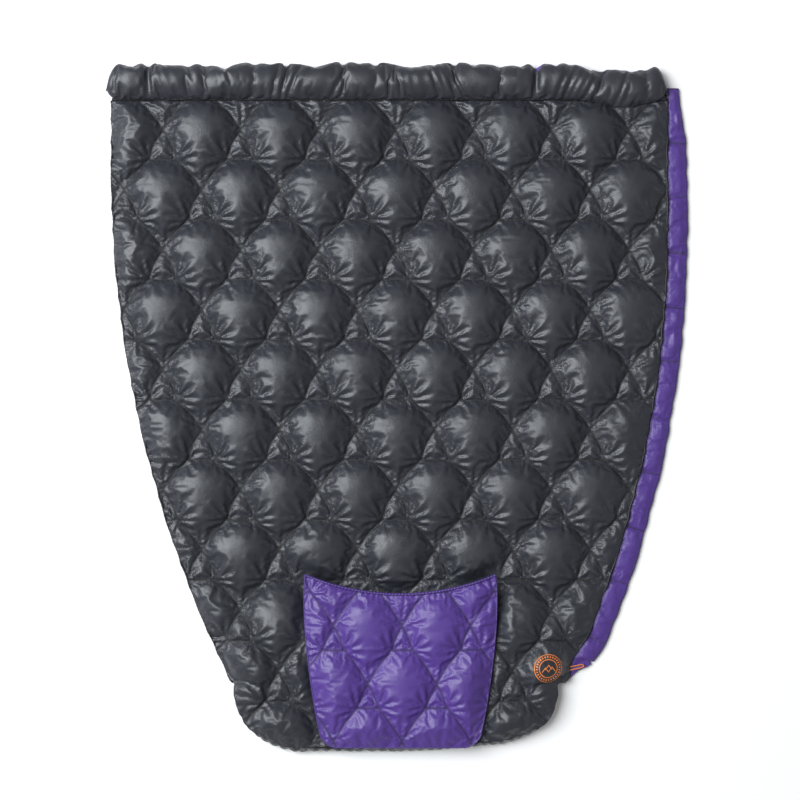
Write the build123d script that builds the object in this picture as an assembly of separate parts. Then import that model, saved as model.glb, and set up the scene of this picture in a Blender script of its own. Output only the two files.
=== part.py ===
from build123d import *
from math import atan, atan2, ceil, degrees, floor, hypot
import os

# A camp quilt lying flat: two quilted layers of fabric with down between them, a draft collar
# across the head, a foot pocket, a draft flap down one side and a padded hand pocket.
#
# Millimetres. +Z is up, +Y runs from the foot to the head, and the quilt lies on Z = 0.
# The origin is on the floor at mid-length, under the middle column of quilting crossings.
# The quilting is a net of diamonds, and each diamond has a short bar below its top.

# ---------------------------------------------------------------- overall sizes
LENGTH = 1830.0            # head to foot, collar included
LEFT_WIDTH = 755.0         # centre column to the left edge, at the head
RIGHT_WIDTH = 720.0        # centre column to the right edge, at the head
LEFT_TAPER_FROM = 275.0    # the side edges run straight for this far below the head
RIGHT_TAPER_FROM = 442.0
LOFT = 38.0                # lining to shell where the quilt is fullest
SKIN = 1.0                 # one layer of fabric
BINDING = 4.0              # thickness of edge bindings, the foot gusset and hems
CLEAR = 0.5                # down to the fabric round it
SLACK = 0.3                # between pieces of bodies that move against each other

# ---------------------------------------------------------------- foot pocket
FOOT_POCKET_DEPTH = 184.0
FOOT_FLAT = 510.0          # straight stretch across the toes
FOOT_CORNER = 172.0        # radius of the toe corners
FOOT_BACK_LOFT = 14.0
FOOT_BACK_CHAMBERS = 4
FOOT_GAP = 12.0            # room left for the feet as the pocket lies flat
FOOT_LEVEL = 300.0         # the quilt stays raised for this far from the toes
FOOT_RAMP = 135.0          # and comes down to the floor over this length

# ---------------------------------------------------------------- quilting
PITCH_X = 206.0            # one crossing to the next along a row
PITCH_Y = 159.0            # one row of crossings to the next
FIRST_CROSSING = 178.0     # the head to the first row of crossings
BAR_DROP = 79.0            # a crossing to the bar below it
SEAM_GAP = 9.0             # a seam to the edge of the down beside it
SLOPE_SHARE = 0.65         # how much of a tuft, edge to middle, its sloping side takes
TIP_LOFT = 14.0            # the small tufts above the bars
THREAD_WIDTH = 1.6
THREAD_HEIGHT = 0.6

# ---------------------------------------------------------------- collar
COLLAR_DEPTH = 98.0
COLLAR_HEIGHT = 56.0
COLLAR_SEAM_HEIGHT = 8.0   # height of the collar where it is sewn on
COLLAR_HEM = 16.0          # height of the hem that holds the elastic
COLLAR_HEM_TOP = 36.0
COLLAR_LEFT = 766.0        # centre column to the collar's left end
COLLAR_RIGHT = 715.0
COLLAR_END_ROUND = 34.0
COLLAR_CHAMBERS = 13
COLLAR_CHAMBER_GAP = 8.0
ELASTIC_WIDTH = 8.0
ELASTIC_THICK = 1.5

# ---------------------------------------------------------------- draft flap
FLAP_WIDTH = 57.0
FLAP_LOFT = 14.0
FLAP_HEAD = 66.0           # the head to the flap's top end
FLAP_FOOT = 190.0          # the toes to the flap's low end
FLAP_END = 46.0            # width left at the low end, beside the notch
FLAP_CUT = 60.0            # degrees that the cut to full width leans
FLAP_CELL = 153.0          # one cross seam to the next
FLAP_CELL_GAP = 5.0

# ---------------------------------------------------------------- strap loop
LOOP_LENGTH = 38.0
LOOP_WIDTH = 10.0
LOOP_CORD = 2.4
LOOP_FROM_FOOT = 224.0
LOOP_FROM_NOTCH = 34.0     # how far outside the notch the loop's sewn end lies
LOOP_TURN = 12.0           # degrees from +X
TACK_LENGTH = 6.0
TACK_WIDTH = 13.0
TACK_THICK = 1.2

# ---------------------------------------------------------------- hand pocket
POCKET_MOUTH = 500.0
POCKET_BASE = 424.0
POCKET_SHIFT = 12.0        # the pocket sits this far right of the centre column
POCKET_FROM_FOOT = 12.0
POCKET_HEIGHT = 464.0
POCKET_SAG = 50.0          # the mouth's middle lies this far below its corners
POCKET_CORNER = 62.0
POCKET_LOFT = 24.0
POCKET_GAP = 10.0          # the hand space between the pocket and the quilt
POCKET_PITCH_X = 180.0
POCKET_PITCH_Y = 152.0
POCKET_BAR_DROP = 62.0
POCKET_CROSSING = 128.0    # the mouth's corners to the pocket's first row of crossings
MOUTH_BINDING = 9.0

# ---------------------------------------------------------------- badge
BADGE_RADIUS = 38.0
BADGE_X = 400.0
BADGE_FROM_FOOT = 231.0
BADGE_BAND = 6.0
BADGE_DOT = 14.0
BADGE_PRINT = 0.5

# ---------------------------------------------------------------- places
HEAD = LENGTH / 2
FOOT = -LENGTH / 2
SEAM_Y = HEAD - COLLAR_DEPTH
NOTCH = FOOT + FOOT_POCKET_DEPTH
RAISE = FOOT_BACK_LOFT + FOOT_GAP
RAMP_LOW = FOOT + FOOT_LEVEL
RAMP_HIGH = RAMP_LOW + FOOT_RAMP
POCKET_BOTTOM = FOOT + POCKET_FROM_FOOT
POCKET_TOP = POCKET_BOTTOM + POCKET_HEIGHT
POCKET_Z = LOFT + RAISE + POCKET_GAP
FOOT_HALF = FOOT_FLAT / 2 + FOOT_CORNER
FAR = LENGTH               # past every edge of the quilt
SKY = POCKET_Z + POCKET_LOFT + COLLAR_HEIGHT

parts = {}


# ---------------------------------------------------------------- helpers
def block(x_low, x_high, y_low, y_high, z_low, z_high):
    middle = Pos((x_low + x_high) / 2, (y_low + y_high) / 2, (z_low + z_high) / 2)
    return middle * Box(x_high - x_low, y_high - y_low, z_high - z_low)


def slab(sketch, z_low, z_high):
    """A flat sketch as a plate between two heights."""
    return extrude(Pos(0, 0, z_low) * sketch, amount=z_high - z_low)


def inset(sketch, amount):
    return offset(sketch, amount=-amount, kind=Kind.TANGENT)


def group(shapes):
    """One compound of every solid in the shapes."""
    return Compound(children=[solid for shape in shapes for solid in shape.solids()])


def lift(y):
    """How far the foot pocket's back raises the quilt above it."""
    share = (RAMP_HIGH - y) / FOOT_RAMP
    return RAISE * min(1.0, max(0.0, share))


def layer(y_low, y_high, bottom, top):
    """A sheet between two heights in the quilt's thickness, raised over the foot pocket."""
    stations = [y_low, *(y for y in (RAMP_LOW, RAMP_HIGH) if y_low < y < y_high), y_high]
    under = [(y, bottom + lift(y)) for y in stations]
    over = [(y, top + lift(y)) for y in reversed(stations)]
    profile = make_face(Plane.YZ * Polyline(*under, *over, close=True))
    return extrude(profile, amount=FAR, both=True)


# ---------------------------------------------------------------- outlines
def quilt_outline(top=SEAM_Y):
    """The quilt's edge from above: round toe corners, a notch, then sides that spread."""
    low = FOOT + FOOT_CORNER
    bulge = FOOT_CORNER * (1 - 0.5 ** 0.5)
    toes = Line((-FOOT_FLAT / 2, FOOT), (FOOT_FLAT / 2, FOOT))
    edge = [toes, Line((RIGHT_WIDTH, top), (-LEFT_WIDTH, top))]
    sides = ((-1, LEFT_WIDTH, LEFT_TAPER_FROM), (1, RIGHT_WIDTH, RIGHT_TAPER_FROM))
    for side, width, taper in sides:
        shoulder = (side * width, HEAD - taper)
        notch = (side * FOOT_HALF, NOTCH)
        corner = (side * (FOOT_HALF - bulge), FOOT + bulge)
        edge += [
            ThreePointArc((side * FOOT_FLAT / 2, FOOT), corner, (side * FOOT_HALF, low)),
            Line((side * FOOT_HALF, low), notch),
            TangentArc(shoulder, notch, tangent=(0, -1)),
            Line(shoulder, (side * width, top)),
        ]
    return make_face(edge)


def pocket_outline():
    """The hand pocket from above: a sagging mouth, sides that close in, round low corners."""
    mouth, base = POCKET_MOUTH / 2, POCKET_BASE / 2
    left, right = (-mouth, POCKET_TOP), (mouth, POCKET_TOP)
    sag = ThreePointArc(left, (0, POCKET_TOP - POCKET_SAG), right)
    shape = make_face([sag, Polyline(right, (base, POCKET_BOTTOM), (-base, POCKET_BOTTOM), left)])
    low_corners = shape.vertices().sort_by(Axis.Y)[:2]
    return Pos(POCKET_SHIFT, 0) * fillet(low_corners, POCKET_CORNER)


outline = quilt_outline()
field = inset(outline, BINDING)
pocket_edge = pocket_outline()
pocket_field = inset(pocket_edge, BINDING)


# ---------------------------------------------------------------- quilting pattern
def crossings(first, pitch_x, pitch_y, low, high, half_width):
    """(row, x, y) of the top crossing of each diamond that can reach the field."""
    columns = ceil(half_width / pitch_x) + 1
    for row in range(-2, ceil((first - low) / pitch_y) + 1):
        for column in range(-columns, columns + 1):
            y = first - row * pitch_y
            if y - 2 * pitch_y < high:
                yield row, (column + row % 2 / 2) * pitch_x, y


def tuft(corners, radius, loft):
    """The down in one cell: thickest in the middle, thinning out towards the seams."""
    edge = offset(make_face(Polyline(*corners, close=True)), amount=-SEAM_GAP, kind=Kind.INTERSECTION)
    lean = degrees(atan(SLOPE_SHARE * (radius - SEAM_GAP) / (loft / 2)))
    upper = extrude(edge, amount=loft / 2, taper=lean)
    return upper + extrude(edge, amount=-loft / 2, taper=lean)


def tufts(pitch_x, pitch_y, bar_drop, loft):
    """The large tuft of a diamond and the small one above its bar, from their top crossing."""
    half = pitch_x / 2
    bar = half * bar_drop / pitch_y
    left, right = (-bar, -bar_drop), (bar, -bar_drop)
    below_bar = [right, (half, -pitch_y), (0, -2 * pitch_y), (-half, -pitch_y), left]
    large_radius = half * pitch_y / hypot(half, pitch_y)
    small_radius = bar * bar_drop / (bar + hypot(bar, bar_drop))
    large = tuft(below_bar, large_radius, loft)
    small = tuft([(0, 0), right, left], small_radius, min(loft, TIP_LOFT))
    return large, small


def thread_net(first, pitch_x, pitch_y, bar_drop, low, high, half_width):
    """Every quilting seam, from above, one thread wide."""
    seam = hypot(pitch_x / 2, pitch_y)
    lean = degrees(atan2(pitch_x / 2, pitch_y))
    lines = []
    for _, x, y in crossings(first, pitch_x, pitch_y, low, high, half_width):
        lines.append(Pos(x, y - bar_drop) * Rectangle(pitch_x * bar_drop / pitch_y, THREAD_WIDTH))
        for side in (-1, 1):
            middle = Pos(x + side * pitch_x / 4, y - pitch_y / 2)
            lines.append(middle * Rot(0, 0, side * lean) * Rectangle(THREAD_WIDTH, seam))
    return Sketch() + lines


def cut(shape, *rooms):
    """The shape's solids inside every room, without the scraps that a cut leaves at an edge."""
    solids = shape.solids()
    for room in rooms:
        met = [solid & room for solid in solids]
        solids = [piece for shared in met if shared for piece in shared.solids()]
    return [solid for solid in solids if solid.volume > SEAM_GAP ** 3]


# ---------------------------------------------------------------- the quilt
def quilt_layers():
    """Shell and lining, each one sheet from the toes to the collar."""
    column = slab(field, -1, SKY)
    parts["shell_panel"] = layer(FOOT, SEAM_Y - BINDING, LOFT - SKIN, LOFT) & column
    parts["lining_panel"] = layer(FOOT, SEAM_Y - BINDING, 0, SKIN) & column
    stitches = layer(FOOT, SEAM_Y - BINDING, LOFT, LOFT + THREAD_HEIGHT)
    seen = field - pocket_edge - Pos(BADGE_X, FOOT + BADGE_FROM_FOOT) * Circle(BADGE_RADIUS + CLEAR)
    net = thread_net(HEAD - FIRST_CROSSING, PITCH_X, PITCH_Y, BAR_DROP, FOOT, SEAM_Y, LEFT_WIDTH)
    parts["quilting_thread"] = slab(net & seen, 0, SKY) & stitches


def quilt_down():
    """One node of down for each row of diamonds."""
    room = slab(inset(outline, BINDING + SEAM_GAP), -1, SKY)
    between = layer(FOOT, SEAM_Y, SKIN + CLEAR, LOFT - SKIN - CLEAR)
    pair = tufts(PITCH_X, PITCH_Y, BAR_DROP, LOFT - 2 * SKIN - 2 * CLEAR)
    rows = {}
    for row, x, y in crossings(HEAD - FIRST_CROSSING, PITCH_X, PITCH_Y, FOOT, SEAM_Y, LEFT_WIDTH):
        for tuft in pair:
            middle = y + tuft.bounding_box().center().Y
            reach = tuft.bounding_box().size.Y / 2
            slope = degrees(atan(RAISE / FOOT_RAMP)) if RAMP_LOW < middle < RAMP_HIGH else 0
            tilt = Pos(0, middle, LOFT / 2 + lift(middle)) * Rot(-slope, 0, 0) * Pos(0, -middle, 0)
            placed = tilt * Pos(x, y, 0) * tuft
            near_ramp = middle - reach < RAMP_HIGH and middle + reach > RAMP_LOW
            rooms = (room, between) if near_ramp else (room,)
            rows.setdefault(row, []).extend(cut(placed, *rooms))
    full = [row for row in sorted(rows) if rows[row]]
    for number, row in enumerate(full, start=1):
        parts[f"down_row_{number:02d}"] = group(rows[row])


def quilt_edges():
    """Bindings down the two long edges and across the head, and the boxed wall round the toes."""
    ring = outline - field
    sides = slab(ring, 0, SKY) & layer(NOTCH, SEAM_Y - BINDING, 0, LOFT)
    left = block(-FAR, 0, NOTCH, SEAM_Y - BINDING, 0, SKY)
    parts["edge_binding_left"] = sides & left
    parts["edge_binding_right"] = sides & mirror(left, about=Plane.YZ)
    parts["foot_gusset"] = slab(ring, 0, LOFT + RAISE) & block(-FAR, FAR, FOOT, NOTCH, 0, SKY)
    parts["collar_seam_tape"] = block(-LEFT_WIDTH, RIGHT_WIDTH, SEAM_Y - BINDING, SEAM_Y, 0, LOFT)


def foot_back():
    """The foot pocket's back: a short quilted panel under the quilt, open toward the head."""
    reach = block(-FAR, FAR, FOOT, NOTCH - BINDING, 0, SKY)
    parts["foot_back_shell"] = slab(field, 0, SKIN) & reach
    parts["foot_back_lining"] = slab(field, FOOT_BACK_LOFT - SKIN, FOOT_BACK_LOFT) & reach
    hem = block(-FAR, FAR, NOTCH - BINDING, NOTCH, 0, FOOT_BACK_LOFT)
    parts["foot_back_hem"] = slab(field, 0, SKY) & hem
    room = slab(inset(field, SEAM_GAP), SKIN + CLEAR, FOOT_BACK_LOFT - SKIN - CLEAR)
    cells = []
    width = 2 * FOOT_HALF / FOOT_BACK_CHAMBERS
    for number in range(FOOT_BACK_CHAMBERS):
        start = -FOOT_HALF + number * width
        cell = block(start + SEAM_GAP, start + width - SEAM_GAP, FOOT, NOTCH - BINDING - SEAM_GAP, 0, SKY)
        cells += cut(cell, room)
    parts["foot_back_down"] = group(cells)


# ---------------------------------------------------------------- the collar
def collar_profile():
    """The stuffed collar from its end: sewn on at the quilt's top edge, hemmed at the head."""
    near, far, crown = SEAM_Y + SLACK, HEAD, SEAM_Y + COLLAR_DEPTH / 2
    edge = [
        ThreePointArc((near, LOFT), (crown, COLLAR_HEIGHT), (far, COLLAR_HEM_TOP)),
        Line((far, COLLAR_HEM_TOP), (far, COLLAR_HEM_TOP - COLLAR_HEM)),
        ThreePointArc((far, COLLAR_HEM_TOP - COLLAR_HEM), (crown, 0), (near, LOFT - COLLAR_SEAM_HEIGHT)),
        Line((near, LOFT - COLLAR_SEAM_HEIGHT), (near, LOFT)),
    ]
    return make_face(edge)


def collar_plan(shrink):
    """The collar from above, with rounded outer corners."""
    middle = ((COLLAR_RIGHT - COLLAR_LEFT) / 2, (SEAM_Y + SLACK + HEAD) / 2)
    width = COLLAR_RIGHT + COLLAR_LEFT
    plan = Pos(*middle) * Rectangle(width, COLLAR_DEPTH - SLACK)
    plan = fillet(plan.vertices().group_by(Axis.Y)[-1], COLLAR_END_ROUND)
    return inset(plan, shrink) if shrink else plan


def collar_body(shrink):
    face = collar_profile()
    if shrink:
        face = inset(face, shrink)
    tube = extrude(Plane.YZ * face, amount=FAR, both=True)
    return tube & slab(collar_plan(shrink), -1, SKY)


def collar():
    """A draft collar: a tube of shell above and lining below, in chambers of down."""
    skin = collar_body(0) - collar_body(SKIN)
    upper = block(-FAR, FAR, SEAM_Y, HEAD, COLLAR_HEM_TOP - COLLAR_HEM / 2, SKY)
    parts["collar_shell"] = skin & upper
    parts["collar_lining"] = skin - upper
    hem = HEAD - SKIN - CLEAR
    band_z = COLLAR_HEM_TOP - COLLAR_HEM / 2
    reach = COLLAR_END_ROUND
    parts["collar_elastic"] = block(
        reach - COLLAR_LEFT, COLLAR_RIGHT - reach, hem - ELASTIC_THICK, hem,
        band_z - ELASTIC_WIDTH / 2, band_z + ELASTIC_WIDTH / 2)
    core = collar_body(SKIN + CLEAR)
    behind_elastic = hem - ELASTIC_THICK - CLEAR
    pitch = (COLLAR_LEFT + COLLAR_RIGHT) / COLLAR_CHAMBERS
    chambers = []
    for number in range(COLLAR_CHAMBERS):
        start = -COLLAR_LEFT + number * pitch
        chamber = block(start + COLLAR_CHAMBER_GAP / 2, start + pitch - COLLAR_CHAMBER_GAP / 2,
                        SEAM_Y, behind_elastic, 0, SKY)
        chambers.append(core & chamber)
    parts["collar_down"] = group(chambers)


# ---------------------------------------------------------------- the draft flap
def draft_flap():
    """A narrow padded flap sewn along the right edge, lying on the floor beside the quilt."""
    edge = quilt_outline(HEAD)
    strip = offset(edge, amount=FLAP_WIDTH, kind=Kind.ARC) - edge
    low, high = FOOT + FLAP_FOOT, HEAD - FLAP_HEAD
    beside = Pos(FAR / 2, (low + high) / 2) * Rectangle(FAR, high - low)
    cut_line = Pos(FOOT_HALF + FLAP_END, low) * Rot(0, 0, FLAP_CUT)
    past_cut = cut_line * Pos(0, -FAR / 2) * Rectangle(2 * FAR, FAR)
    flap = (strip & beside) - past_cut
    inner = offset(edge, amount=BINDING, kind=Kind.ARC)
    seam = flap & inner
    pad = flap - inner
    hem = pad - offset(edge, amount=FLAP_WIDTH - BINDING, kind=Kind.ARC)
    pad = pad - hem
    parts["flap_seam_tape"] = slab(seam, 0, FLAP_LOFT)
    parts["flap_hem"] = slab(hem, 0, FLAP_LOFT)
    parts["flap_shell"] = slab(pad, 0, SKIN)
    parts["flap_lining"] = slab(pad, FLAP_LOFT - SKIN, FLAP_LOFT)
    gaps = [Pos(FAR / 2, HEAD - FLAP_HEAD - FLAP_CELL * (step + 1)) * Rectangle(FAR, FLAP_CELL_GAP)
            for step in range(floor((LENGTH - FLAP_HEAD) / FLAP_CELL))]
    cells = slab(inset(pad, CLEAR) - gaps, SKIN + CLEAR, FLAP_LOFT - SKIN - CLEAR)
    parts["flap_down"] = group([cells])


# ---------------------------------------------------------------- the strap loop
def strap_loop():
    """A flat loop of cord lying on the draft flap's low end, held down by a bar tack."""
    base = FOOT_HALF + LOOP_FROM_NOTCH
    place = Pos(base, FOOT + LOOP_FROM_FOOT, FLAP_LOFT + SLACK + LOOP_CORD / 2) * Rot(0, 0, LOOP_TURN)
    half = LOOP_WIDTH / 2 - LOOP_CORD / 2
    straight = LOOP_LENGTH - LOOP_WIDTH / 2
    path = [
        Line((0, -half), (straight, -half)),
        ThreePointArc((straight, -half), (straight + half, 0), (straight, half)),
        Line((straight, half), (0, half)),
    ]
    cord = sweep(Plane(origin=(0, -half, 0), z_dir=(1, 0, 0)) * Circle(LOOP_CORD / 2), path=Wire(path))
    parts["strap_loop"] = place * cord
    tack = Pos(-TACK_LENGTH / 2 - SLACK, 0, -SLACK - LOOP_CORD / 2 + TACK_THICK / 2)
    parts["strap_loop_tack"] = place * tack * Box(TACK_LENGTH, TACK_WIDTH, TACK_THICK)


# ---------------------------------------------------------------- the hand pocket
def hand_pocket():
    """A padded pocket over the feet, sewn down on three sides, with elastic along its mouth."""
    low, high = POCKET_Z, POCKET_Z + POCKET_LOFT
    below_mouth = pocket_edge & (Pos(0, -MOUTH_BINDING) * pocket_edge)
    panel = below_mouth & pocket_field
    rim = below_mouth - pocket_field
    mouth = pocket_edge - below_mouth
    parts["pocket_lining"] = slab(panel, low, low + SKIN)
    parts["pocket_shell"] = slab(panel, high - SKIN, high)
    parts["pocket_side_tape"] = slab(rim, low, high)
    hollow = slab(inset(mouth, SKIN), low + SKIN, high - SKIN)
    parts["pocket_mouth_binding"] = slab(mouth, low, high) - hollow
    middle = (low + high) / 2
    core = inset(mouth, SKIN + CLEAR)
    parts["pocket_mouth_elastic"] = slab(core, middle - ELASTIC_WIDTH / 2, middle + ELASTIC_WIDTH / 2)
    seam = slab(rim, 0, POCKET_Z - SLACK)
    parts["pocket_seam"] = seam & layer(FOOT, SEAM_Y, LOFT, SKY)
    first = POCKET_TOP - POCKET_CROSSING
    reach = POCKET_MOUTH / 2
    pitches = (POCKET_PITCH_X, POCKET_PITCH_Y, POCKET_BAR_DROP)
    net = thread_net(first, *pitches, POCKET_BOTTOM, POCKET_TOP, reach)
    parts["pocket_thread"] = slab((Pos(POCKET_SHIFT, 0) * net) & panel, high, high + THREAD_HEIGHT)
    room = slab(inset(panel, SEAM_GAP), low + SKIN + CLEAR, high - SKIN - CLEAR)
    pair = tufts(*pitches, POCKET_LOFT - 2 * SKIN - 2 * CLEAR)
    cells = []
    for _, x, y in crossings(first, POCKET_PITCH_X, POCKET_PITCH_Y, POCKET_BOTTOM, POCKET_TOP, reach):
        for tuft in pair:
            cells += cut(Pos(x + POCKET_SHIFT, y, middle) * tuft, room)
    parts["pocket_down"] = group(cells)


# ---------------------------------------------------------------- the badge
def badge():
    """A round print over the feet: a band round a plain disc."""
    face = Circle(BADGE_RADIUS) - Circle(BADGE_RADIUS - BADGE_BAND) + Circle(BADGE_DOT)
    height = LOFT + lift(FOOT + BADGE_FROM_FOOT)
    parts["badge"] = slab(Pos(BADGE_X, FOOT + BADGE_FROM_FOOT) * face, height, height + BADGE_PRINT)


quilt_layers()
quilt_down()
quilt_edges()
foot_back()
collar()
draft_flap()
strap_loop()
hand_pocket()
badge()

os.makedirs("parts", exist_ok=True)
for name, shape in parts.items():
    export_step(shape, f"parts/{name}.step")
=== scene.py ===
from functools import partial
from math import ceil, cos, floor, hypot, pi, radians, sin

import bpy
import numpy as np
from bpy.props import FloatProperty, FloatVectorProperty, IntProperty, PointerProperty
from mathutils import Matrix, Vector
from mathutils.bvhtree import BVHTree


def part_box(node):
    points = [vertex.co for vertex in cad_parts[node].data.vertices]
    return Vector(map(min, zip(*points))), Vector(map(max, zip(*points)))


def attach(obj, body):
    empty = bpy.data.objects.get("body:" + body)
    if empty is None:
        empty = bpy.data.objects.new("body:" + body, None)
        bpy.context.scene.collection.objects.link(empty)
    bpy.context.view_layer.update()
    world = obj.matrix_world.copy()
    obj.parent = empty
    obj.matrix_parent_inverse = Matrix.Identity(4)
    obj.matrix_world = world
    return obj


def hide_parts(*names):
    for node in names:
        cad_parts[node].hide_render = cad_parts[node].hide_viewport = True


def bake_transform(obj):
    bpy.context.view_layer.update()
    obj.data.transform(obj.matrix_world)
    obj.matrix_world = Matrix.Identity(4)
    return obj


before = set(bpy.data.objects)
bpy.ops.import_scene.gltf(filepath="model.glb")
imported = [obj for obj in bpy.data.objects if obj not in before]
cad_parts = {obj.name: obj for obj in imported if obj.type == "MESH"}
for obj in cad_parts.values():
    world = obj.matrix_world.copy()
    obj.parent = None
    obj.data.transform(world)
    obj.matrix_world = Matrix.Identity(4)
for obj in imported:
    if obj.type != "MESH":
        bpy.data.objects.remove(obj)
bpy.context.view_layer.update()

bl_info = {
    "name": "Camp quilt",
    "version": (1, 0, 0),
    "blender": (4, 5, 0),
    "location": "3D View > Sidebar > Camp quilt",
    "description": "Dresses the quilt's frame in quilted nylon, with its collar, pockets and trim",
    "category": "Object",
}


def low(node):
    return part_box(node)[0]


def high(node):
    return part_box(node)[1]


# ---------------------------------------------------------------- places taken from the frame
HEAD_Y = high("collar_shell").y
SEAM_Y = high("collar_seam_tape").y
FOOT_Y = low("foot_gusset").y
NOTCH_Y = high("foot_gusset").y
LEFT = -low("edge_binding_left").x
RIGHT = high("edge_binding_right").x
FOOT_HALF = high("foot_gusset").x
LOFT = high("collar_seam_tape").z
RAISE = high("foot_gusset").z - LOFT
POCKET_LOW, POCKET_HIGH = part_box("pocket_seam")
MOUTH_Y = high("pocket_mouth_binding").y
FLOOR_GAP = 0.0006


# ---------------------------------------------------------------- sizes and colours
def length(name, default, description):
    return FloatProperty(name=name, description=description, default=default, unit="LENGTH")


def colour(name, default, description):
    return FloatVectorProperty(name=name, description=description, default=default, subtype="COLOR")


class QuiltSizes(bpy.types.PropertyGroup):
    pitch_x: length("Quilting width", 0.206, "One crossing to the next along a row")
    pitch_y: length("Quilting height", 0.159, "One row of crossings to the next")
    first_crossing: length("First crossing", 0.178, "The head to the first row of crossings")
    bar_drop: length("Bar drop", 0.079, "A crossing to the short bar below it")
    gather: length("Bar gather", 0.013, "How far each bar's thread draws its ends in")
    puff: length("Puff", 0.029, "How far a cell stands up from its seams before it is blown up")
    seam_height: length("Seam height", 0.015, "The floor to the quilting seams on top")
    shell_steps: IntProperty(
        name="Shell mesh steps", description="Mesh rows from one row of crossings to the next",
        default=24, min=8)
    lining_steps: IntProperty(
        name="Lining mesh steps", description="The same, on the underside",
        default=14, min=6)


class PocketSizes(bpy.types.PropertyGroup):
    pitch_x: length("Quilting width", 0.180, "One crossing to the next along a row")
    pitch_y: length("Quilting height", 0.152, "One row of crossings to the next")
    first_crossing: length("First crossing", 0.133, "The mouth's corners to the first row of crossings")
    bar_drop: length("Bar drop", 0.062, "A crossing to the short bar below it")
    sag: length("Mouth sag", 0.050, "How far the mouth's middle lies below its corners")
    base: length("Base width", 0.424, "The pocket's width at its bottom seam")
    corner: length("Corner radius", 0.042, "Radius of the pocket's low corners")
    belly: length("Side belly", 0.013, "How far the pocket's sides bow out below the mouth")
    bottom_rise: length("Bottom rise", 0.018, "How far the bottom seam rises towards its corners")
    puff: length("Puff", 0.018, "How far a cell stands up from its seams before it is blown up")


class TrimSizes(bpy.types.PropertyGroup):
    left_taper: length("Left taper", 0.275, "How far below the head the left edge starts to close in")
    right_taper: length("Right taper", 0.442, "How far below the head the right edge starts to close in")
    left_notch: length("Left notch", 0.434, "Middle column to the left edge at the foot pocket")
    right_notch: length("Right notch", 0.454, "Middle column to the right edge at the foot pocket")
    toe_corner: length("Toe corner", 0.172, "Radius of the toe corners")
    toe_band: length("Toe band", 0.020, "How far the gathered toe band shows past the shell")
    binding: length("Binding", 0.006, "Width of the folded edge bindings")
    flap_width: length("Flap width", 0.055, "Width of the draft flap")
    flap_cell: length("Flap cell", 0.145, "One cross seam of the draft flap to the next")
    badge_radius: length("Badge radius", 0.038, "Radius of the round print")


class QuiltColours(bpy.types.PropertyGroup):
    charcoal: colour("Charcoal", (0.024, 0.026, 0.034), "Shell nylon")
    purple: colour("Purple", (0.074, 0.033, 0.225), "Lining nylon")
    orange: colour("Orange", (0.85, 0.24, 0.045), "Cord and print")
    black: colour("Black", (0.010, 0.010, 0.012), "Binding and thread")


# ---------------------------------------------------------------- small helpers
def smooth(t):
    """A smooth step from 0 to 1."""
    t = np.clip(t, 0.0, 1.0)
    return t * t * (3 - 2 * t)


def deselect():
    bpy.ops.object.select_all(action="DESELECT")


def select(piece):
    deselect()
    piece.select_set(True)
    bpy.context.view_layer.objects.active = piece


def new_piece(name, points, faces):
    mesh = bpy.data.meshes.new(name)
    mesh.from_pydata(np.asarray(points).tolist(), [], faces)
    mesh.update()
    piece = bpy.data.objects.new(name, mesh)
    bpy.context.scene.collection.objects.link(piece)
    select(piece)
    return piece


def points_of(piece):
    flat = np.zeros(len(piece.data.vertices) * 3)
    piece.data.vertices.foreach_get("co", flat)
    return flat.reshape(-1, 3)


def set_points(piece, points):
    piece.data.vertices.foreach_set("co", np.ascontiguousarray(points, dtype=np.float32).ravel())
    piece.data.update()


def store(piece, name, values):
    """Keeps one number for each point of the mesh, for a material to read."""
    attribute = piece.data.attributes.new(name, "FLOAT", "POINT")
    attribute.data.foreach_set("value", np.asarray(values, dtype=np.float32))


def store_cut(piece, flat):
    """The cloth's own flat measure as a UV map, in metres, so that the weave follows the cloth."""
    layer = piece.data.uv_layers.new(name="cut")
    corner = np.zeros(len(piece.data.loops), dtype=np.int32)
    piece.data.loops.foreach_get("vertex_index", corner)
    layer.data.foreach_set("uv", np.asarray(flat, dtype=np.float32)[corner].ravel())


def lift_off_floor(piece):
    points = points_of(piece)
    points[:, 2] = np.maximum(points[:, 2], FLOOR_GAP)
    set_points(piece, points)


def face_outwards():
    """Turns the active closed piece's faces outwards."""
    bpy.ops.object.mode_set(mode="EDIT")
    bpy.ops.mesh.select_all(action="SELECT")
    bpy.ops.mesh.normals_make_consistent(inside=False)
    bpy.ops.object.mode_set(mode="OBJECT")


def apply_modifiers(piece):
    select(piece)
    for name in [modifier.name for modifier in piece.modifiers]:
        bpy.ops.object.modifier_apply(modifier=name)


def subdivide(piece, levels=1):
    modifier = piece.modifiers.new("smooth", "SUBSURF")
    modifier.levels = levels
    modifier.render_levels = levels
    modifier.use_limit_surface = False
    apply_modifiers(piece)


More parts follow.
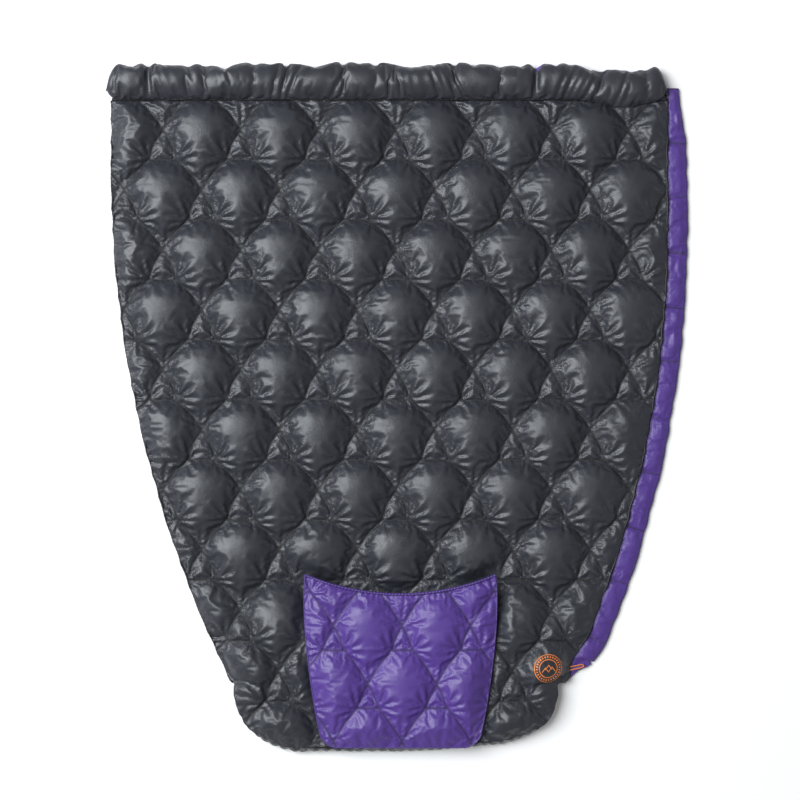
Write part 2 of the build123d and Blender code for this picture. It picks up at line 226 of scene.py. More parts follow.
def blow_up(piece, pinned, pressure, spare, bending=0.01, frames=20, limit=0.02):
    """Cloth simulation: the pinned seams stay, the spare cloth between them fills and wrinkles."""
    start = points_of(piece)
    group = piece.vertex_groups.new(name="seams")
    group.add(np.flatnonzero(pinned).tolist(), 1.0, "REPLACE")
    cloth = piece.modifiers.new("cloth", "CLOTH")
    feel = cloth.settings
    feel.quality = 5
    feel.mass = 0.1
    feel.air_damping = 2
    feel.tension_stiffness = 15
    feel.compression_stiffness = 15
    feel.shear_stiffness = 5
    feel.bending_stiffness = bending
    feel.vertex_group_mass = "seams"
    feel.use_pressure = True
    feel.uniform_pressure_force = pressure
    feel.shrink_min = -spare
    feel.effector_weights.gravity = 0
    cloth.collision_settings.use_collision = False
    cloth.point_cache.frame_start = 1
    cloth.point_cache.frame_end = frames
    for step in range(1, frames + 1):
        bpy.context.scene.frame_set(step)
    select(piece)
    bpy.ops.object.modifier_apply(modifier="cloth")
    bpy.context.scene.frame_set(1)
    piece.vertex_groups.clear()
    move = points_of(piece) - start
    far = np.maximum(np.linalg.norm(move, axis=1, keepdims=True) / limit, 1.0)
    set_points(piece, start + move / far)


def finish_cloth(piece, material, slot, body, *nodes):
    """Gives a piece its finish, rides it on its body and hides the frame's parts that it stands for; the
    slot is not used.
    """
    select(piece)
    bpy.ops.object.shade_smooth()
    piece.data.materials.clear()
    piece.data.materials.append(material)
    if body:
        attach(piece, body)
    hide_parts(*nodes)


# ---------------------------------------------------------------- the quilt's outline
def side_edge(y, side, trim, inset=0.0):
    """Middle column to the quilt's edge at y, on the side -1 or +1."""
    y = np.asarray(y, dtype=float)
    width, taper, notch = (LEFT, trim.left_taper, trim.left_notch)
    if side > 0:
        width, taper, notch = (RIGHT, trim.right_taper, trim.right_notch)
    shoulder = HEAD_Y - taper
    across, along = width - notch, shoulder - NOTCH_Y
    radius = (across ** 2 + along ** 2) / (2 * across)
    below = np.clip(shoulder - y, 0, None)
    body = width - radius + np.sqrt(radius ** 2 - below ** 2) - inset
    if side > 0:
        body = body - 0.014 * np.exp(-((y - NOTCH_Y - 0.065) / 0.045) ** 2)
    corner = trim.toe_corner - inset
    drop = np.clip(FOOT_Y + trim.toe_corner - y, 0, corner)
    foot = FOOT_HALF - trim.toe_corner + np.sqrt(corner ** 2 - drop ** 2)
    step = smooth((y - NOTCH_Y) / 0.012)
    scallop = 0.0016 * (np.sin((y - HEAD_Y) * 2 * pi / 0.159 + side) + np.sin((y - HEAD_Y) * 67 + 2 * side))
    return side * (foot + (body - abs(scallop) - foot) * step)


def quilt_polygon(trim, inset=0.0, count=420):
    """The quilt's edge, anticlockwise, from the toes to the collar seam."""
    share = (1 - np.cos(np.linspace(0, pi, count))) / 2
    y = FOOT_Y + inset + (SEAM_Y - FOOT_Y - inset) * share
    right = np.column_stack([side_edge(y, 1, trim, inset), y])
    left = np.column_stack([side_edge(y, -1, trim, inset), y])
    return np.vstack([right, left[::-1]])


def pocket_polygon(pocket, count=60):
    """The hand pocket's edge: a sagging mouth, sides that close in and round low corners."""
    middle, mouth = mouth_span()
    base = pocket.base / 2
    bottom = POCKET_LOW.y
    turn = np.linspace(-1, 1, count)
    top = np.column_stack([-turn * mouth, MOUTH_Y - pocket.sag * (1 - turn ** 2)])
    radius = pocket.corner
    down = np.linspace(0, 1, 24)[1:-1]
    belly = pocket.belly * np.sin(pi * down ** 0.8)
    side_y = MOUTH_Y + (bottom + radius - MOUTH_Y) * down
    side = np.column_stack([-mouth + (mouth - base) * down - belly, side_y])
    arc = np.linspace(0, pi / 2, 12)
    corner_x = -base + radius - radius * np.cos(arc)
    corner = np.column_stack([corner_x, bottom + radius - radius * np.sin(arc)])
    left = np.vstack([side, corner])
    right = left[::-1] * (-1, 1)
    outline = np.vstack([top, left, right])
    low_edge = np.exp(-((outline[:, 1] - bottom) / 0.06) ** 2)
    outline[:, 1] += pocket.bottom_rise * (outline[:, 0] / base) ** 2 * low_edge
    return outline + (middle, 0)


def distance_inside(points, polygon):
    """How far each point lies inside a closed outline, and the outline's nearest point to it."""
    start = polygon
    run = np.roll(polygon, -1, axis=0) - start
    length = np.maximum((run ** 2).sum(1), 1e-12)
    best = np.full(len(points), np.inf)
    nearest = np.zeros_like(points)
    inside = np.zeros(len(points), dtype=bool)
    for (sx, sy), (rx, ry), square in zip(start, run, length):
        share = np.clip(((points[:, 0] - sx) * rx + (points[:, 1] - sy) * ry) / square, 0, 1)
        at = np.column_stack([sx + share * rx, sy + share * ry])
        away = ((points - at) ** 2).sum(1)
        closer = away < best
        best = np.where(closer, away, best)
        nearest[closer] = at[closer]
        if ry:
            spans = (sy > points[:, 1]) != (sy + ry > points[:, 1])
            inside ^= spans & (points[:, 0] < sx + (points[:, 1] - sy) / ry * rx)
    return np.sqrt(best) * np.where(inside, 1, -1), nearest


# ---------------------------------------------------------------- quilted cloth
FOLD_REACH = 0.026  # how far the folds spread from a bar's end or a crossing


def fan(across, up, count, reach, phase):
    """Folds that spread out from a point where thread pulls the cloth together."""
    away = np.hypot(across, up) / reach
    return np.sin(np.arctan2(across, up) * count + phase) * away * np.exp((1 - away ** 2) / 2)


class QuiltedCloth:
    """A sheet of triangles whose edges run along the diamond seams and the bars, cut to an outline."""

    def __init__(self, polygon, first_y, middle_x, sizes, steps, gather=0.0):
        self.step_x = sizes.pitch_x / 2 / steps
        self.step_y = sizes.pitch_y / steps
        self.steps = steps
        low_x, low_y = polygon.min(0) - 2 * self.step_y
        high_x, high_y = polygon.max(0) + 2 * self.step_y
        rows = range(floor((low_y - first_y) / self.step_y), ceil((high_y - first_y) / self.step_y) + 1)
        first_column = floor((low_x - middle_x) / self.step_x / 2) - 1
        last_column = ceil((high_x - middle_x) / self.step_x / 2) + 1
        number = {}
        place = []
        for row in rows:
            for column in range(first_column, last_column + 1):
                number[column, row] = len(place)
                place.append((2 * column + row % 2, row))
        faces = []
        for (column, row), corner in number.items():
            beside = number.get((column + 1, row))
            between = column + row % 2
            above, below = number.get((between, row + 1)), number.get((between, row - 1))
            if beside is not None and above is not None:
                faces.append((corner, beside, above))
            if beside is not None and below is not None:
                faces.append((beside, corner, below))
        self.place = np.array(place)
        self.faces = np.array(faces)
        self.flat = self.place * (self.step_x, self.step_y) + (middle_x, first_y)
        self.measure_seams(sizes, gather)
        self.cut_to(polygon)

    def measure_seams(self, sizes, gather):
        """Distance of each point to the nearest seam, the points on one, and the bars' gather."""
        across, along = self.place.T
        whole = 2 * self.steps
        rising = np.minimum((across - along) % whole, (along - across) % whole) / 2
        falling = np.minimum((across + along) % whole, -(across + along) % whole) / 2
        drop = round(sizes.bar_drop / self.step_y)
        below = -along % self.steps
        diamond_row = -along // self.steps
        from_axis = (across - self.steps * (diamond_row % 2)) % whole
        off_axis = np.minimum(from_axis, whole - from_axis)
        step = 2 * self.step_x * self.step_y / hypot(self.step_x, self.step_y)
        to_bar = np.where(off_axis <= drop, abs(below - drop) * self.step_y, 1.0)
        self.to_seam = np.minimum(np.minimum(rising, falling) * step, to_bar)
        self.on_seam = (rising == 0) | (falling == 0) | ((below == drop) & (off_axis <= drop))
        self.to_crossing = np.hypot(np.minimum(rising, falling), np.maximum(rising, falling)) * step
        up_cell, down_cell = np.floor((across - along) / whole), np.floor((across + along) / whole)
        self.cell_key = up_cell * 7.31 + down_cell * 3.77
        near_end = np.exp(-((off_axis - drop) * self.step_x / 0.028) ** 2
                          - ((below - drop) * self.step_y / 0.034) ** 2)
        self.bent = self.flat.copy()
        self.bent[:, 0] -= gather * np.where(from_axis < whole - from_axis, 1, -1) * near_end
        crossing_row = np.round(along / self.steps)
        from_crossing = (across - self.steps * (crossing_row % 2) + self.steps) % whole - self.steps
        from_row = along - crossing_row * self.steps
        from_end = ((off_axis - drop) * self.step_x, (drop - below) * self.step_y)
        bar_end = fan(*from_end, 9, FOLD_REACH, self.cell_key)
        bar_end *= smooth((self.steps - off_axis) * self.step_x / 0.030)
        bar_end *= np.where((below > drop) & (off_axis < below), 0.35, 1.0)
        tip = fan(from_crossing * self.step_x, from_row * self.step_y, 12, FOLD_REACH, self.cell_key * 2)
        self.folds = (bar_end + 0.7 * tip * (from_row > 0)) * smooth(self.to_seam / 0.010)

    def cut_to(self, polygon):
        """Keeps the triangles inside the outline and draws their rim onto it."""
        depth, nearest = distance_inside(self.bent, polygon)
        inside = distance_inside(self.bent[self.faces].mean(1), polygon)[0] > 0
        faces = self.faces[inside]
        edges = np.sort(np.vstack([faces[:, [0, 1]], faces[:, [1, 2]], faces[:, [2, 0]]]), axis=1)
        pairs, uses = np.unique(edges, axis=0, return_counts=True)
        rim = np.zeros(len(depth), dtype=bool)
        rim[pairs[uses == 1].ravel()] = True
        self.bent[rim] = nearest[rim]
        depth[rim] = 0
        used = np.unique(faces)
        renumber = np.zeros(len(depth), dtype=int)
        renumber[used] = np.arange(len(used))
        self.faces = renumber[faces]
        self.rim = rim[used]
        self.depth = depth[used]
        for name in ("flat", "bent", "to_seam", "on_seam", "to_crossing", "cell_key", "folds"):
            setattr(self, name, getattr(self, name)[used])

    def crown(self, reach=0.056, power=1.7):
        """0 at the seams and the rim, rising to 1 in the middle of a cell."""
        away = np.minimum(self.to_seam, np.clip(self.depth, 0, None))
        return 1 - np.clip(1 - away / reach, 0, 1) ** power

    def relaxed(self, height, rounds=10):
        """Rounds off the ridges between seams by averaging each free point with its neighbours."""
        ends = np.vstack([self.faces[:, [0, 1]], self.faces[:, [1, 2]], self.faces[:, [2, 0]]])
        first, second = np.vstack([ends, ends[:, ::-1]]).T
        count = np.bincount(first, minlength=len(height))
        free = ~(self.on_seam | self.rim)
        for _ in range(rounds):
            around = np.bincount(first, weights=height[second], minlength=len(height)) / count
            height = np.where(free, around, height)
        return height

    def uneven(self, amount):
        """A different fullness for each cell."""
        return 1 + amount * np.sin(self.cell_key * 5.1)

    def make(self, name, height, face_up=True):
        faces = self.faces if face_up else self.faces[:, ::-1]
        piece = new_piece(name, np.column_stack([self.bent, height]), faces.tolist())
        store(piece, "seam", np.minimum(self.to_seam, self.depth + self.step_y))
        store_cut(piece, self.flat)
        return piece


def lift(points, trim):
    """How far the foot pocket raises the quilt: fully over the feet, not at the draped side edges."""
    ramp_low, ramp_high = NOTCH_Y + 0.12, NOTCH_Y + 0.26
    raised = smooth((ramp_high - points[:, 1]) / (ramp_high - ramp_low))
    side = np.where(points[:, 0] > 0, 1, -1)
    edge = np.where(side > 0, side_edge(points[:, 1], 1, trim), -side_edge(points[:, 1], -1, trim))
    hang = smooth((edge - abs(points[:, 0])) / 0.10)
    in_foot = smooth((NOTCH_Y + 0.03 - points[:, 1]) / 0.05)
    return RAISE * raised * np.maximum(hang, in_foot)


# ---------------------------------------------------------------- materials
def group_socket(group, name, way, kind, value=None):
    socket = group.interface.new_socket(name=name, in_out=way, socket_type=kind)
    if value is not None:
        socket.default_value = value


def node(tree, kind, **inputs):
    """A node with its sockets filled: a number or colour sets a socket, a socket is linked."""
    made = tree.nodes.new(kind)
    for name, value in inputs.items():
        key = int(name[1:]) if name[0] == "_" else name.replace("_", " ")
        if isinstance(value, bpy.types.NodeSocket):
            tree.links.new(value, made.inputs[key])
        else:
            made.inputs[key].default_value = value
    return made


def maths(tree, operation, first, second=0.0):
    made = node(tree, "ShaderNodeMath", _0=first, _1=second)
    made.operation = operation
    return made.outputs[0]


def blank(name):
    """A new material, its node tree and its surface shader."""
    material = bpy.data.materials.new(name)
    material.use_nodes = True
    tree = material.node_tree
    return material, tree, tree.nodes["Principled BSDF"]


def object_place(tree):
    return tree.nodes.new("ShaderNodeTexCoord").outputs["Object"]


def mixed(tree, share, first, second):
    """A colour between two: each is a colour socket, or three numbers."""
    first, second = (end if isinstance(end, bpy.types.NodeSocket) else (*end, 1) for end in (first, second))
    mix = node(tree, "ShaderNodeMix", _0=share, _6=first, _7=second)
    mix.data_type = "RGBA"
    return mix.outputs[2]


def scaled(colour, factor):
    return tuple(channel * factor for channel in colour)


def emboss(tree, surface, height, strength, distance):
    relief = node(tree, "ShaderNodeBump", Strength=strength, Distance=distance, Height=height)
    tree.links.new(relief.outputs["Normal"], surface.inputs["Normal"])


def taffeta_group():
    """Woven nylon: crossing threads, soft crinkles, and a mask along the seams for their dark stitched
    thread and for painted shade in the seam valleys.
    """
    group = bpy.data.node_groups.get("taffeta") or bpy.data.node_groups.new("taffeta", "ShaderNodeTree")
    if group.nodes:
        return group
    group_socket(group, "Threads", "INPUT", "NodeSocketFloat", 1400.0)
    group_socket(group, "Crinkle", "INPUT", "NodeSocketFloat", 34.0)
    group_socket(group, "Seam Width", "INPUT", "NodeSocketFloat", 0.0035)
    for name in ("Height", "Tone", "Seam"):
        group_socket(group, name, "OUTPUT", "NodeSocketFloat")
    given = group.nodes.new("NodeGroupInput")
    result = group.nodes.new("NodeGroupOutput")
    cut = group.nodes.new("ShaderNodeUVMap")
    cut.uv_map = "cut"
    place = group.nodes.new("ShaderNodeTexCoord").outputs["Object"]

    times, plus, minus = (partial(maths, group, way) for way in ("MULTIPLY", "ADD", "SUBTRACT"))
    along = node(group, "ShaderNodeSeparateXYZ", Vector=cut.outputs["UV"])
    warp = maths(group, "SINE", times(along.outputs["X"], given.outputs["Threads"]))
    weft = maths(group, "SINE", times(along.outputs["Y"], given.outputs["Threads"]))
    weave = times(plus(warp, weft), 0.012)

    soft = node(group, "ShaderNodeTexNoise", Vector=place, Scale=given.outputs["Crinkle"], Detail=4.0,
                Roughness=0.55, Distortion=0.9)
    ridge = maths(group, "ABSOLUTE", minus(soft.outputs["Fac"], 0.5))
    sharp = maths(group, "POWER", minus(1.0, times(ridge, 3.2)), 3.0)
    fine = node(group, "ShaderNodeTexNoise", Vector=place, Scale=210.0, Detail=2.0, Roughness=0.5)
    small = times(fine.outputs["Fac"], 0.10)

    seam = node(group, "ShaderNodeAttribute")
    seam.attribute_name = "seam"
    away = maths(group, "DIVIDE", seam.outputs["Fac"], given.outputs["Seam Width"])
    # The seam mask, used for the dark stitched thread and for the painted shade in the seam valleys.
    near = minus(1.0, maths(group, "MINIMUM", away, 1.0))
    beat = plus(times(along.outputs["X"], 900.0), times(along.outputs["Y"], 1800.0))
    stitch = times(maths(group, "SINE", beat), 0.25)
    dip = times(near, minus(stitch, 0.9))

    reach = maths(group, "MINIMUM", times(seam.outputs["Fac"], 26.0), 1.0)
    pulled = minus(1.0, times(reach, 0.85))
    crinkles = times(plus(sharp, small), pulled)
    height = plus(crinkles, plus(weave, dip))
    group.links.new(height, result.inputs["Height"])
    tone = node(group, "ShaderNodeTexNoise", Vector=place, Scale=5.0, Detail=3.0, Roughness=0.6)
    group.links.new(tone.outputs["Fac"], result.inputs["Tone"])
    group.links.new(near, result.inputs["Seam"])
    return group


def nylon(name, colour, roughness=0.38, crinkle=46.0, bump=0.5, thread_and_shade_depth=0.22, seam_width=0.0048,
          sheen=0.02, threads=5200.0):
    """Calendered nylon: a soft gloss, fine crinkles, and seams darkened partly by their stitched thread and
    partly by painted shade in their valleys.
    """
    found = bpy.data.materials.get(name)
    if found:
        return found
    material, tree, surface = blank(name)
    cloth = tree.nodes.new("ShaderNodeGroup")
    cloth.node_tree = taffeta_group()
    cloth.inputs["Threads"].default_value = threads
    cloth.inputs["Crinkle"].default_value = crinkle
    cloth.inputs["Seam Width"].default_value = seam_width
    shade = mixed(tree, cloth.outputs["Tone"], scaled(colour, 0.86), scaled(colour, 1.18))
    # Painted shade: the seam mask darkens the colour along the seams, partly for the dark stitched thread
    # and partly as shade in the seam valleys.
    thread_and_seam_shade = mixed(tree, cloth.outputs["Seam"], shade, scaled(colour, thread_and_shade_depth))
    tree.links.new(thread_and_seam_shade, surface.inputs["Base Color"])
    rough = maths(tree, "ADD", maths(tree, "MULTIPLY", cloth.outputs["Tone"], 0.16), roughness - 0.08)
    rough = maths(tree, "ADD", rough, maths(tree, "MULTIPLY", cloth.outputs["Seam"], 0.3))
    tree.links.new(rough, surface.inputs["Roughness"])
    surface.inputs["Specular IOR Level"].default_value = 0.55
    surface.inputs["Sheen Weight"].default_value = sheen
    surface.inputs["Sheen Roughness"].default_value = 0.4
    emboss(tree, surface, cloth.outputs["Height"], bump, 0.0016)
    return material


def charcoal_nylon():
    return nylon("shell_taffeta", bpy.context.scene.quilt_colours.charcoal)


def purple_nylon():
    return nylon("lining_taffeta", bpy.context.scene.quilt_colours.purple, roughness=0.42, bump=0.4)


def pocket_nylon():
    purple = bpy.context.scene.quilt_colours.purple
    return nylon("pocket_taffeta", purple, roughness=0.42, bump=0.3, thread_and_shade_depth=0.4)


def dark_binding():
    return nylon("black_tape", bpy.context.scene.quilt_colours.black, roughness=0.55, bump=0.25,
                 seam_width=0.0001, threads=3200.0)


def purple_binding():
    colour = tuple(channel * 0.8 for channel in bpy.context.scene.quilt_colours.purple)
    return nylon("purple_tape", colour, roughness=0.5, bump=0.25, seam_width=0.0001, threads=3200.0)


def thread(name, colours, direction, roughness, relief, **wave):
    """Stripes of thread, as in a braid or in close stitches, between two colours."""
    found = bpy.data.materials.get(name)
    if found:
        return found
    material, tree, surface = blank(name)
    place = object_place(tree)
    stripes = node(tree, "ShaderNodeTexWave", Vector=place, **wave)
    stripes.bands_direction = direction
    tree.links.new(mixed(tree, stripes.outputs["Fac"], *colours), surface.inputs["Base Color"])
    surface.inputs["Roughness"].default_value = roughness
    emboss(tree, surface, stripes.outputs["Fac"], relief, 0.0004)
    return material


def orange_cord():
    orange = bpy.context.scene.quilt_colours.orange
    braid = thread("loop_braid", (scaled(orange, 0.62), orange), "DIAGONAL", 0.62, 0.5,
                   Scale=420.0, Distortion=1.5, Detail=1.0)
    braid.node_tree.nodes["Principled BSDF"].inputs["Sheen Weight"].default_value = 0.3
    return braid


def bar_tack_thread():
    black = bpy.context.scene.quilt_colours.black
    return thread("bar_tack_thread", (black, scaled(black, 4)), "Y", 0.6, 0.6,
                  Scale=260.0, Distortion=2.0, Detail=2.0)


def peaks(tree, split):
    """Three plain hill outlines in the middle of the print."""
    drawn = 0.0
    for across, top in ((-0.008, 0.002), (0.001, 0.009), (0.010, 0.004)):
        away = maths(tree, "ABSOLUTE", maths(tree, "SUBTRACT", split.outputs["X"], across))
        slope = maths(tree, "SUBTRACT", top, maths(tree, "MULTIPLY", away, 1.25))
        off = maths(tree, "ABSOLUTE", maths(tree, "SUBTRACT", split.outputs["Y"], slope))
        line = maths(tree, "LESS_THAN", off, 0.0018)
        near = maths(tree, "LESS_THAN", away, 0.009)
        drawn = maths(tree, "MAXIMUM", maths(tree, "MULTIPLY", line, near), drawn)
    return drawn


def badge_print(middle):
    """A round orange line print on the shell's cloth: rings, a ring of ticks and three plain hills."""
    material, tree, surface = blank("badge_ink")
    place = object_place(tree)
    centred = node(tree, "ShaderNodeVectorMath", _0=place, _1=middle)
    centred.operation = "SUBTRACT"
    flat = node(tree, "ShaderNodeVectorMath", _0=centred.outputs[0], _1=(1, 1, 0))
    flat.operation = "MULTIPLY"
    length = node(tree, "ShaderNodeVectorMath", _0=flat.outputs[0])
    length.operation = "LENGTH"
    away = length.outputs["Value"]
    split = node(tree, "ShaderNodeSeparateXYZ", Vector=flat.outputs[0])
    turn = maths(tree, "ARCTAN2", split.outputs["Y"], split.outputs["X"])
    ticks = maths(tree, "GREATER_THAN", maths(tree, "SINE", maths(tree, "MULTIPLY", turn, 28.0)), 0.1)

    def band(inner, outer):
        past = maths(tree, "GREATER_THAN", away, inner)
        return maths(tree, "MULTIPLY", past, maths(tree, "LESS_THAN", away, outer))

    tick_band = maths(tree, "MULTIPLY", ticks, band(0.0285, 0.0335))
    lines = maths(tree, "MAXIMUM", band(0.0360, 0.0380), band(0.0230, 0.0252))
    inked = maths(tree, "MAXIMUM", maths(tree, "MAXIMUM", tick_band, lines), peaks(tree, split))
    colours = bpy.context.scene.quilt_colours
    tree.links.new(mixed(tree, inked, colours.charcoal, colours.orange), surface.inputs["Base Color"])
    grain = node(tree, "ShaderNodeTexNoise", Vector=place, Scale=300.0, Detail=2.0)
    rough = maths(tree, "ADD", maths(tree, "MULTIPLY", grain.outputs["Fac"], 0.2), 0.42)
    tree.links.new(rough, surface.inputs["Roughness"])
    emboss(tree, surface, grain.outputs["Fac"], 0.15, 0.0005)
    return material


# ---------------------------------------------------------------- shell and lining
FOLD_HEIGHT = 0.0050
PRESSED_RING = 0.042  # the shell is pressed flat this far round the hand pocket


def shell_height(cloth, sizes, trim, pocket):
    """The shell before it is blown up: low at the seams, full in the cells, flat under the pocket."""
    points = cloth.bent
    under_pocket = distance_inside(points, pocket_polygon(pocket))[0]
    flat = 1 - 0.85 * smooth((under_pocket + PRESSED_RING) / PRESSED_RING)
    seam = sizes.seam_height + 0.003 * (1 - np.exp(-(cloth.to_crossing / 0.04) ** 2))
    crown = cloth.relaxed(cloth.crown()) * cloth.uneven(0.10)
    height = seam + (sizes.puff * crown + FOLD_HEIGHT * cloth.folds) * flat
    jitter = np.random.default_rng(11).uniform(-1, 1, len(points)) * 0.0003
    jitter[cloth.on_seam | cloth.rim] = 0
    return height + jitter + lift(points, trim)


def toe_slant(x, y):
    """The toes' line rises a little towards the right."""
    return 0.018 * smooth((x - 0.02) / 0.28) * smooth((FOOT_Y + 0.12 - y) / 0.12)


def drawn_in(points, trim):
    """Pulls the foot's edge in to where the toe band is sewn on."""
    x, y = points.T
    in_foot = smooth((NOTCH_Y + 0.02 - y) / 0.14)
    at_toes = smooth((FOOT_Y + 0.10 - y) / 0.10)
    return np.column_stack([x * (1 - 0.012 * in_foot), y + trim.toe_band * at_toes + toe_slant(x, y)])


def make_shell():
    scene = bpy.context.scene
    sizes, trim = scene.quilt_sizes, scene.trim_sizes
    polygon = drawn_in(quilt_polygon(trim), trim)
    first_y = HEAD_Y - sizes.first_crossing
    cloth = QuiltedCloth(polygon, first_y, 0.0, sizes, sizes.shell_steps, sizes.gather)
    shell = cloth.make("quilt_shell", shell_height(cloth, sizes, trim, scene.pocket_sizes))
    pinned = cloth.on_seam | cloth.rim
    pinned |= distance_inside(cloth.bent, pocket_polygon(scene.pocket_sizes))[0] > -0.004
    blow_up(shell, pinned, pressure=11, spare=0.036, bending=0.007)
    subdivide(shell)
    down = [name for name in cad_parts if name.startswith("down_row")]
    stands_for = ("shell_panel", "quilting_thread", *down)
    finish_cloth(shell, charcoal_nylon(), "charcoal_nylon", "quilt", *stands_for)
    return shell


def make_lining():
    scene = bpy.context.scene
    sizes, trim = scene.quilt_sizes, scene.trim_sizes
    polygon = drawn_in(quilt_polygon(trim, inset=0.003), trim)
    cloth = QuiltedCloth(polygon, HEAD_Y - sizes.first_crossing, 0.0, sizes, sizes.lining_steps)
    seam = 0.010 + lift(cloth.bent, trim)
    lining = cloth.make("quilt_lining", seam - 0.009 * cloth.crown(), face_up=False)
    blow_up(lining, cloth.on_seam | cloth.rim, pressure=12, spare=0.05)
    lift_off_floor(lining)
    subdivide(lining)
    finish_cloth(lining, purple_nylon(), "purple_nylon", "quilt", "lining_panel")
    return lining


# ---------------------------------------------------------------- strips and tubes
def grid_faces(rows, columns, closed=False):
    """Quads over a grid of points, rows first; closed joins the last column to the first."""
    faces = []
    for row in range(rows - 1):
        for column in range(columns if closed else columns - 1):
            beside = (column + 1) % columns
            here, there = row * columns, (row + 1) * columns
            faces.append((here + column, here + beside, there + beside, there + column))
    return faces


def closed_tube(name, rings, ends):
    """A tube through rings of points, with a point at the middle of each end."""
    count, sides = rings.shape[:2]
    faces = grid_faces(count, sides, closed=True)
    last = (count - 1) * sides
    for side in range(sides):
        beside = (side + 1) % sides
        faces.append((side, count * sides, beside))
        faces.append((last + beside, count * sides + 1, last + side))
    piece = new_piece(name, np.vstack([rings.reshape(-1, 3), *ends]), faces)
    face_outwards()
    return piece


def border_of(rows, columns):
    """The points round the edge of a grid."""
    border = np.zeros((rows, columns), dtype=bool)
    border[[0, -1]] = True
    border[:, [0, -1]] = True
    return border


def grid_piece(name, x, y, z, face_up=True):
    rows, columns = x.shape
    faces = grid_faces(rows, columns)
    if not face_up:
        faces = [face[::-1] for face in faces]
    return new_piece(name, np.stack([x, y, z], axis=-1).reshape(-1, 3), faces)


def tube(name, path, width, height, sides=10, ripple=0.0, ripple_pitch=0.012):
    """A folded tape or cord: an oval tube along a path of points, closed at both ends."""
    path = np.asarray(path, dtype=float)
    run = np.gradient(path, axis=0)
    run /= np.linalg.norm(run, axis=1, keepdims=True)
    across = np.cross(run, (0, 0, 1))
    across /= np.linalg.norm(across, axis=1, keepdims=True)
    up = np.cross(across, run)
    along = np.concatenate([[0], np.cumsum(np.linalg.norm(np.diff(path, axis=0), axis=1))])
    swell = 1 + ripple * np.sin(along * 2 * pi / ripple_pitch + 1.7 * np.sin(along * 31))
    turn = np.linspace(0, 2 * pi, sides, endpoint=False)
    swell = swell[:, None, None]
    sideways = across[:, None] * (np.cos(turn) * width / 2)[None, :, None] * swell
    rings = path[:, None] + sideways + up[:, None] * (np.sin(turn) * height / 2)[None, :, None] * swell
    piece = closed_tube(name, rings, (path[0], path[-1]))
    flat = np.column_stack([np.tile(turn * width / 2, len(path)), np.repeat(along, sides)])
    store_cut(piece, np.vstack([flat, (0, 0), (0, along[-1])]))
    store(piece, "seam", np.ones(len(flat) + 2))
    return piece


def make_edge_bindings():
    trim = bpy.context.scene.trim_sizes
    sizes = bpy.context.scene.quilt_sizes
    for side, word in ((-1, "left"), (1, "right")):
        y = np.arange(SEAM_Y - 0.002, NOTCH_Y + 0.004, -0.005)
        x = side_edge(y, side, trim)
        z = 0.013 + 0.002 * np.sin(y * 2 * pi / sizes.pitch_y) + lift(np.column_stack([x, y]), trim)
        path = np.column_stack([x, y, z])
        piece = tube(f"edge_binding_{word}_tape", path, trim.binding, 0.011, ripple=0.12)
        finish_cloth(piece, dark_binding(), "dark_binding", "quilt", f"edge_binding_{word}")


def make_collar_seam():
    x = np.arange(-LEFT + 0.002, RIGHT - 0.002, 0.005)
    z = 0.017 + 0.003 * np.sin(x * 47) * np.sin(x * 13)
    path = np.column_stack([x, np.full(len(x), SEAM_Y + 0.001), z])
    piece = tube("collar_seam_binding", path, 0.007, 0.012, ripple=0.2)
    finish_cloth(piece, dark_binding(), "dark_binding", "quilt", "collar_seam_tape")


# ---------------------------------------------------------------- the collar
COLLAR_PUCKERS = (-0.655, -0.55, -0.505, -0.375, -0.29, -0.14, -0.055, 0.155, 0.275, 0.37, 0.46, 0.54, 0.66)
DEEP_PUCKERS = (-0.655, 0.37)
LINING_TOP = 0.016
LINING_ROLL = 0.020


def show_lining(collar):
    """The purple lining is the collar's lower half, and it rolls up into one deep pucker at the head."""
    collar.data.materials.append(purple_nylon())
    count = len(collar.data.polygons)
    centre = np.empty(count * 3, dtype=np.float32)
    collar.data.polygons.foreach_get("center", centre)
    x, y, z = centre.reshape(-1, 3).T
    rolled = LINING_ROLL * np.exp(-((x - DEEP_PUCKERS[1] - 0.010) / 0.016) ** 2)
    purple = z < LINING_TOP + rolled * smooth((y - HEAD_Y + 0.055) / 0.03)
    collar.data.polygons.foreach_set("material_index", purple.astype(np.int32))


